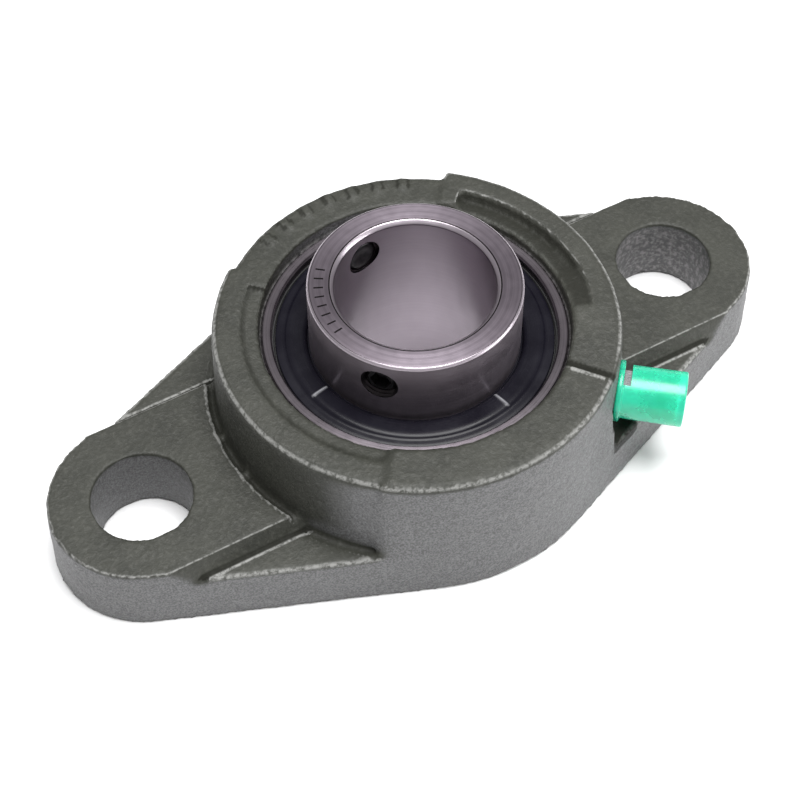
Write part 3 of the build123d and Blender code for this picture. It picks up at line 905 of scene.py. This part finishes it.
def mark_faces(mesh, top):
    """Face values: darker inside the tapped holes and the ticks, and painted sheen elsewhere by its share, full on
    the chamfers as a painted highlight.
    """
    darkened, polished = [], []
    frames = screw_frames()
    axes = [frame_matrix.to_3x3() @ Vector((0, 0, 1)) for frame_matrix in frames]
    for face in mesh.polygons:
        radius = face.center.xy.length
        dark = top - 2 * TICK_DEPTH < face.center.z < top - 0.1 * TICK_DEPTH
        dark &= bore_radius + BORE_CHAMFER < radius < ring_radius - OUTER_CHAMFER
        for axis in axes:
            away = face.center - frames[0].translation
            height = away.dot(axis)
            dark |= height > 0 and (away - axis * height).length < HOLE_MOUTH
        darkened.append(float(dark))
        from_end = min(abs(face.center.z - ring_low.z), abs(face.center.z - top))
        chamfer = from_end < BORE_CHAMFER and SLOPED[0] < abs(face.normal.z) < SLOPED[1]
        sheen = BORE_SHEEN * (radius < bore_radius) + WALL_SHEEN * (radius > ring_radius - WALL_BAND)
        # Full painted highlight on the chamfers, painted sheen in the bore and on the wall.
        polished.append(0 if dark else 1 if chamfer else sheen)
    mesh.attributes.new("darkened", "FLOAT", "FACE").data.foreach_set("value", darkened)
    mesh.attributes.new("polished", "FLOAT", "FACE").data.foreach_set("value", polished)


def make_inner_ring():
    """Inner ring with chamfered ends, a raceway, two tapped holes and a row of ticks."""
    low, high = ring_low.z, ring_high.z
    centre = Vector((INNER_RACEWAY_CENTRE, ball_centre.z))
    raceway_half = math.sqrt(RACEWAY_RADIUS**2 - (centre.x - ring_radius) ** 2)
    corners = [
        (bore_radius, low + BORE_CHAMFER),
        (bore_radius + BORE_CHAMFER, low),
        (ring_radius - OUTER_CHAMFER, low),
        (ring_radius, low + OUTER_CHAMFER),
        (ring_radius, ball_centre.z - raceway_half),
        (ring_radius, ball_centre.z + raceway_half),
        (ring_radius, high - OUTER_CHAMFER),
        (ring_radius - OUTER_CHAMFER, high),
        (bore_radius + BORE_CHAMFER, high),
        (bore_radius, high - BORE_CHAMFER),
    ]
    outline = divide(round_corners(corners, EDGE_ROUNDING), RING_STEP)
    outline = [bend_into_raceway(p, centre) for p in outline]
    mesh = revolve("inner_ring_ground", outline, RING_SEGMENTS)
    for frame_matrix in screw_frames():
        mesh = cut(mesh, lathe("thread_cutter", hole_outline(), THREAD_SEGMENTS, frame_matrix))
    for number in range(TICK_COUNT):
        mesh = cut(mesh, tick_cutter(math.radians(TICK_FIRST + number * TICK_PITCH), high))
    mark_faces(mesh, high)
    mesh = with_modifier(mesh, "WEIGHTED_NORMAL", keep_sharp=True, weight=100)
    new_object("inner_ring_ground", mesh, "inner_ring", ring_steel, ["inner_ring"])


make_inner_ring()


# Outer ring. Heights are from the plane of the balls, and the lower half mirrors the upper one.
LAND_RADIUS = 22.05 * MM
MOUTH_INSIDE = 22.9 * MM
MOUTH_CHAMFER = 0.3 * MM
SEAL_RADIUS = 23.3 * MM
SEAL_HEIGHTS = (5.0 * MM, 6.9 * MM)
SPHERE_STEPS = 24
RACEWAY_STEPS = 10
GREASE_GROOVE_TOP = -0.75 * MM
GREASE_GROOVE_LOW = -5.25 * MM
GREASE_GROOVE_RADIUS = 25.5 * MM
GREASE_HOLE_ANGLES = (20, 200)
GREASE_HOLE_OFFSET = -4.3 * MM
GREASE_HOLE_RADIUS = 0.9 * MM
PIN_ANGLE = 140.0
PIN_HOLE_RADIUS = 1.56 * MM
PIN_HOLE_START = 24.8 * MM
ROD_SEGMENTS = 32


def radial_rod(angle, offset, radius, start, end):
    """Round bar that points away from the shaft axis, offset from the plane of the balls."""
    turn = math.radians(angle)
    away = Vector((math.cos(turn), math.sin(turn), 0))
    place = along(away, Vector((0, 0, ball_centre.z + offset)))
    return lathe("radial_rod", [(0, start), (radius, start), (radius, end), (0, end)], ROD_SEGMENTS, place)


def inner_profile(half):
    """Upper half of the inside of the outer ring, from the plane of the balls to the end face."""
    raceway_half = math.sqrt(RACEWAY_RADIUS**2 - (LAND_RADIUS - OUTER_RACEWAY_CENTRE) ** 2)
    profile = []
    for k in range(RACEWAY_STEPS):
        height = raceway_half * k / RACEWAY_STEPS
        profile.append((OUTER_RACEWAY_CENTRE + math.sqrt(RACEWAY_RADIUS**2 - height**2), height))
    return profile + [
        (LAND_RADIUS, raceway_half),
        (LAND_RADIUS, SEAL_HEIGHTS[0]),
        (SEAL_RADIUS, SEAL_HEIGHTS[0]),
        (SEAL_RADIUS, SEAL_HEIGHTS[1]),
        (MOUTH_INSIDE, SEAL_HEIGHTS[1]),
        (MOUTH_INSIDE, half - MOUTH_CHAMFER),
        (MOUTH_INSIDE + MOUTH_CHAMFER, half),
    ]


def sphere_profile(sphere, rim_height):
    """Outside of the outer ring from top to bottom, with the grease groove."""
    profile = []
    for k in range(SPHERE_STEPS + 1):
        height = rim_height - 2 * rim_height * k / SPHERE_STEPS
        on_sphere = math.sqrt(sphere**2 - height**2)
        if height < GREASE_GROOVE_TOP < profile[-1][1]:
            profile.append((math.sqrt(sphere**2 - GREASE_GROOVE_TOP**2), GREASE_GROOVE_TOP))
            profile.append((GREASE_GROOVE_RADIUS, GREASE_GROOVE_TOP))
        in_groove = GREASE_GROOVE_LOW < height < GREASE_GROOVE_TOP
        profile.append((min(on_sphere, GREASE_GROOVE_RADIUS) if in_groove else on_sphere, height))
    return profile


def make_outer_ring():
    """Outer ring: spherical outside, chamfered mouths, raceway, seal steps, grease groove and holes."""
    low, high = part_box("outer_ring")
    half = (high.z - low.z) / 2
    sphere = high.x
    rim_height = half - MOUTH_CHAMFER
    rim_radius = math.sqrt(sphere**2 - rim_height**2) - MOUTH_CHAMFER
    upper = inner_profile(half)
    lower = [(r, -z) for r, z in reversed(upper[1:])]
    outside = [(rim_radius, half)] + sphere_profile(sphere, rim_height) + [(rim_radius, -half)]
    outline = [Vector((r, z + ball_centre.z)) for r, z in upper + outside + lower]
    mesh = revolve("outer_ring_ground", outline, RING_SEGMENTS)
    beyond = sphere + MM
    for angle in GREASE_HOLE_ANGLES:
        mesh = cut(mesh, radial_rod(angle, GREASE_HOLE_OFFSET, GREASE_HOLE_RADIUS, ring_radius, beyond))
    mesh = cut(mesh, radial_rod(PIN_ANGLE, 0, PIN_HOLE_RADIUS, PIN_HOLE_START, beyond))
    new_object("outer_ring_ground", mesh, "outer_ring", race_steel, ["outer_ring"])


make_outer_ring()


# -------------------------------- slingers

SLINGER_SEGMENTS = 720
SLINGER_STEP = 0.45 * MM
SHEET_THICKNESS = 0.6 * MM
FOOT_DEPTH = 0.85 * MM
FOOT_LIP = 0.4 * MM
FOOT_WIDTH = 0.25 * MM
RIM_THICKNESS = 0.25 * MM
RIB_ANGLES = (-171, -75, 9, 105)
RIB_HALF_WIDTH = 0.3 * MM
RIB_HEIGHT = 0.2 * MM
RIB_START = 0.5 * MM
RIB_LENGTH = 3.2 * MM
RIB_END_POWER = 0.35


def slinger_outline(outer):
    """Closed outline of the pressed sheet. Heights are below its raised inner zone."""
    top = [
        (ring_radius, -FOOT_DEPTH),
        (ring_radius + FOOT_WIDTH, -FOOT_DEPTH),
        (ring_radius + 0.5 * MM, -0.25 * MM),
        (ring_radius + 0.8 * MM, -0.05 * MM),
        (ring_radius + 1.1 * MM, 0),
        (ring_radius + 3.1 * MM, -0.02 * MM),
        (ring_radius + 3.6 * MM, -0.12 * MM),
        (ring_radius + 4.0 * MM, -0.42 * MM),
        (outer - 0.45 * MM, -0.5 * MM),
        (outer - 0.12 * MM, -0.6 * MM),
        (outer, -0.8 * MM),
        (outer, -1.0 * MM),
    ]
    under = [(r, max(z - SHEET_THICKNESS, -FOOT_DEPTH - FOOT_LIP)) for r, z in reversed(top[:-2])]
    under[0] = (under[0][0] - RIM_THICKNESS, under[0][1])
    return divide([Vector((r, z)) for r, z in top + under], SLINGER_STEP)


def raise_ribs(mesh):
    """Raises the radial ribs and returns how far up each vertex is, from 0 to 1."""
    shares = np.zeros(len(mesh.vertices), np.float32)
    for v in mesh.vertices:
        radius = math.hypot(v.co.x, v.co.y)
        angle = math.degrees(math.atan2(v.co.y, v.co.x))
        run = (radius - ring_radius - RIB_START) / RIB_LENGTH
        for rib in RIB_ANGLES:
            off = (angle - rib + 180) % 360 - 180
            across = abs(math.radians(off)) * radius / RIB_HALF_WIDTH
            if across < 1 and 0 < run < 1:
                share = (0.5 + 0.5 * math.cos(math.pi * across)) * math.sin(math.pi * run) ** RIB_END_POWER
                v.co.z += RIB_HEIGHT * share
                shares[v.index] = share
    return shares


def make_slinger(node, up):
    """Pressed disc with a raised inner zone, a turned-down edge and small radial ribs."""
    low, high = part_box(node)
    root = high.z - RIB_HEIGHT if up > 0 else low.z + RIB_HEIGHT
    mesh = revolve(node + "_pressed", slinger_outline(high.x), SLINGER_SEGMENTS)
    ribs = raise_ribs(mesh)
    # The rib shares drive a painted highlight along the ribs.
    mesh.attributes.new("highlight_and_wear", "FLOAT", "POINT").data.foreach_set("value", ribs)
    mesh.transform(Matrix.Translation((0, 0, root)) @ Matrix.Scale(up, 4, (0, 0, 1)))
    tidy_mesh(mesh)
    new_object(node + "_pressed", mesh, "inner_ring", slinger_black, [node])


make_slinger("front_slinger", 1)
make_slinger("back_slinger", -1)


# -------------------------------- set screws

SCREW_CREST_RADIUS = 2.62 * MM
SCREW_ROOT_RADIUS = 2.3 * MM
SCREW_CREST = 0.42
CUP_DEPTH = 0.4 * MM
CUP_RADIUS = 1.3 * MM
CUP_DROP = 0.02 * MM
POINT_CHAMFER = 0.1 * MM
HEAD_CHAMFER = 0.25 * MM
SOCKET_ACROSS_FLATS = 3.0 * MM
SOCKET_DEPTH = 1.7 * MM
SOCKET_CONE = 0.35 * MM
SOCKET_FLOOR = 0.8


def make_set_screw(number, frame_matrix):
    """Headless screw with ring threads, a hexagon socket and a cup point."""
    node = f"set_screw_{number}"
    start, end = span(node, Vector(joints[f"{node}_travel"]["axis"]))
    turns = int((end - start) / THREAD_PITCH)
    cup_point = [(0, start + CUP_DEPTH), (CUP_RADIUS, start + CUP_DROP)]
    cup_point.append((SCREW_ROOT_RADIUS - POINT_CHAMFER, start))
    thread = thread_turns(start, turns, SCREW_ROOT_RADIUS, SCREW_CREST_RADIUS, SCREW_CREST)
    head = [(SCREW_ROOT_RADIUS - HEAD_CHAMFER, end), (0, end)]
    mesh = lathe(f"{node}_black", cup_point + thread + head, THREAD_SEGMENTS, frame_matrix)
    corner = SOCKET_ACROSS_FLATS / 2 / math.cos(math.pi / 6)
    floor = end - SOCKET_DEPTH
    socket = [(0, floor - SOCKET_CONE), (SOCKET_FLOOR * corner, floor), (corner, floor), (corner, end + MM)]
    mesh = cut(mesh, lathe("socket_cutter", socket + [(0, end + MM)], 6, frame_matrix))
    new_object(f"{node}_black", mesh, node, black_oxide, [node])


for number, frame_matrix in enumerate(screw_frames(), start=1):
    make_set_screw(number, frame_matrix)


# -------------------------------- grease nipple and cap

# Heights run along the nipple, from the foot of the cap or from its end.
CAP_SEGMENTS = 96
CAP_FLANGE_RADIUS = 5.0 * MM
CAP_BASE_RADIUS = 4.4 * MM
CAP_TIP_RADIUS = 4.5 * MM
CAP_INNER_RADIUS = 3.95 * MM
CAP_ROUNDING = 0.35 * MM
FLANGE_HEIGHT = 0.9 * MM
FLANGE_SLOPE = 0.1 * MM
DISH_DEPTH = 0.35 * MM
CAP_ROOF = 1.1 * MM
CAP_WINDOW_ANGLES = (-10, 115)
CAP_WINDOW_HEIGHTS = (0.95 * MM, 2.15 * MM)
WINDOW_STEPS = 24

nipple_frame = along(nipple_axis, Vector((0, 0, ball_centre.z)))


def ring_sector(angles, inner, outer, low, high):
    """Block round the nipple axis between two angles, two radii and two heights."""
    corners = []
    for k in range(WINDOW_STEPS + 1):
        turn = math.radians(angles[0] + (angles[1] - angles[0]) * k / WINDOW_STEPS)
        for r, z in ((inner, low), (outer, low), (outer, high), (inner, high)):
            corners.append(nipple_frame @ Vector((r * math.cos(turn), r * math.sin(turn), z)))
    faces = [(0, 1, 2, 3), tuple(4 * WINDOW_STEPS + i for i in (3, 2, 1, 0))]
    for k in range(WINDOW_STEPS):
        for i in range(4):
            j = (i + 1) % 4
            faces.append((4 * k + i, 4 * k + 4 + i, 4 * k + 4 + j, 4 * k + j))
    return mesh_of("ring_sector", corners, faces)


def make_cap():
    """Hollow green cap with a foot flange, a window behind it, and a slightly flared, dished end."""
    start, end = span("nipple_cap", nipple_axis)
    corners = [
        (CAP_INNER_RADIUS, start),
        (CAP_FLANGE_RADIUS, start),
        (CAP_FLANGE_RADIUS, start + FLANGE_HEIGHT),
        (CAP_BASE_RADIUS, start + FLANGE_HEIGHT + FLANGE_SLOPE),
        (CAP_TIP_RADIUS, end - 0.05 * MM),
        (1.2 * MM, end - 0.25 * MM),
    ]
    # Only the outer end of the first arc is used, and the last corner only leads the arc before it.
    outside = round_corners(corners, CAP_ROUNDING)[CORNER_STEPS - 1:-CORNER_STEPS - 1]
    dish = [
        (CAP_TIP_RADIUS - 0.9 * MM, end - 0.02 * MM),
        (CAP_TIP_RADIUS - 1.3 * MM, end - DISH_DEPTH),
        (0, end - DISH_DEPTH),
    ]
    inside = [
        (0, end - CAP_ROOF),
        (CAP_INNER_RADIUS - 0.3 * MM, end - CAP_ROOF),
        (CAP_INNER_RADIUS, end - CAP_ROOF - 0.3 * MM),
        (CAP_INNER_RADIUS, start),
    ]
    body = [tuple(p) for p in outside] + dish
    mesh = cup("nipple_cap_moulded", body, inside, CAP_SEGMENTS, nipple_frame)
    low, high = (start + height for height in CAP_WINDOW_HEIGHTS)
    radii = (CAP_INNER_RADIUS - 0.6 * MM, CAP_FLANGE_RADIUS + MM)
    mesh = cut(mesh, ring_sector(CAP_WINDOW_ANGLES, *radii, low, high))
    new_object("nipple_cap_moulded", mesh, "nipple_cap", cap_plastic, ["nipple_cap"])


make_cap()


# -------------------------------- CAD nodes that stay

finishes = {
    "grease_nipple": zinc,
    "nipple_spring": spring_steel,
    "nipple_ball": ball_steel,
    "locating_pin": pin_steel,
    "front_seal": rubber,
    "back_seal": rubber,
    "front_seal_core": pressed_steel,
    "back_seal_core": pressed_steel,
    "cage_front": pressed_steel,
    "cage_back": pressed_steel,
    "cage_rivets": pressed_steel,
}
for name in nodes:
    if name.startswith("ball_"):
        finishes[name] = ball_steel
for name, finish in finishes.items():
    nodes[name].data.materials.clear()
    nodes[name].data.materials.append(finish)


# -------------------------------- floor, light and camera

FLOOR_HALF = 4.0
FLOOR_DROP = 0.02 * MM
LIGHT_TARGET = Vector((0, 0, 0.02))
WORLD_STRENGTH = 0.4
CAMERA_PLACE = (-0.09586, -0.16382, 0.26106)
CAMERA_TURN = (36.576, 0.035, -29.655)
CAMERA_LENS = 85.216
SENSOR_WIDTH = 36


def make_floor():
    """Plain pale floor just under the mounting face."""
    mesh = bpy.data.meshes.new("floor")
    corners = [(x * FLOOR_HALF, y * FLOOR_HALF, 0) for x, y in ((-1, -1), (1, -1), (1, 1), (-1, 1))]
    mesh.from_pydata(corners, [], [(0, 1, 2, 3)])
    floor = bpy.data.objects.new("floor", mesh)
    bpy.context.scene.collection.objects.link(floor)
    floor.location.z = -FLOOR_DROP
    s = Surface("floor_white", Roughness=0.9)
    cloud = s.noise(0.2, detail=2)
    s.set("Base Color", s.ramp(cloud, [(0.3, (0.86, 0.86, 0.865)), (0.7, (0.88, 0.88, 0.885))]))
    mesh.materials.append(s.material)


def add_light(name, azimuth, elevation, distance, size, power):
    """Soft box that looks at the bearing. Azimuth 0 is in front, along -Y."""
    data = bpy.data.lights.new(name, "AREA")
    data.shape = "RECTANGLE"
    data.size, data.size_y = size
    data.energy = power
    light = bpy.data.objects.new(name, data)
    bpy.context.scene.collection.objects.link(light)
    a, e = math.radians(azimuth), math.radians(elevation)
    back = Vector((math.sin(a) * math.cos(e), -math.cos(a) * math.cos(e), math.sin(e)))
    light.location = LIGHT_TARGET + back * distance
    light.rotation_euler = (-back).to_track_quat("-Z", "Y").to_euler()


def make_world():
    """Even white light from all round."""
    world = bpy.data.worlds.new("studio")
    bpy.context.scene.world = world
    world.use_nodes = True
    background = world.node_tree.nodes["Background"]
    background.inputs["Color"].default_value = (1, 1, 1, 1)
    background.inputs["Strength"].default_value = WORLD_STRENGTH


def make_camera():
    """Three-quarter view from above, on the set-screw and nipple side."""
    data = bpy.data.cameras.new("camera")
    data.sensor_width = SENSOR_WIDTH
    data.lens = CAMERA_LENS
    camera = bpy.data.objects.new("camera", data)
    bpy.context.scene.collection.objects.link(camera)
    camera.location = CAMERA_PLACE
    camera.rotation_euler = [math.radians(turn) for turn in CAMERA_TURN]
    data.clip_start, data.clip_end = 0.01, 20
    bpy.context.scene.camera = camera


make_floor()
make_world()
add_light("top_softbox", azimuth=60, elevation=86, distance=0.95, size=(0.6, 0.6), power=16.0)
add_light("low_softbox", azimuth=48, elevation=16, distance=0.8, size=(0.5, 0.22), power=2.8)
make_camera()
bpy.context.scene.view_settings.view_transform = "Standard"
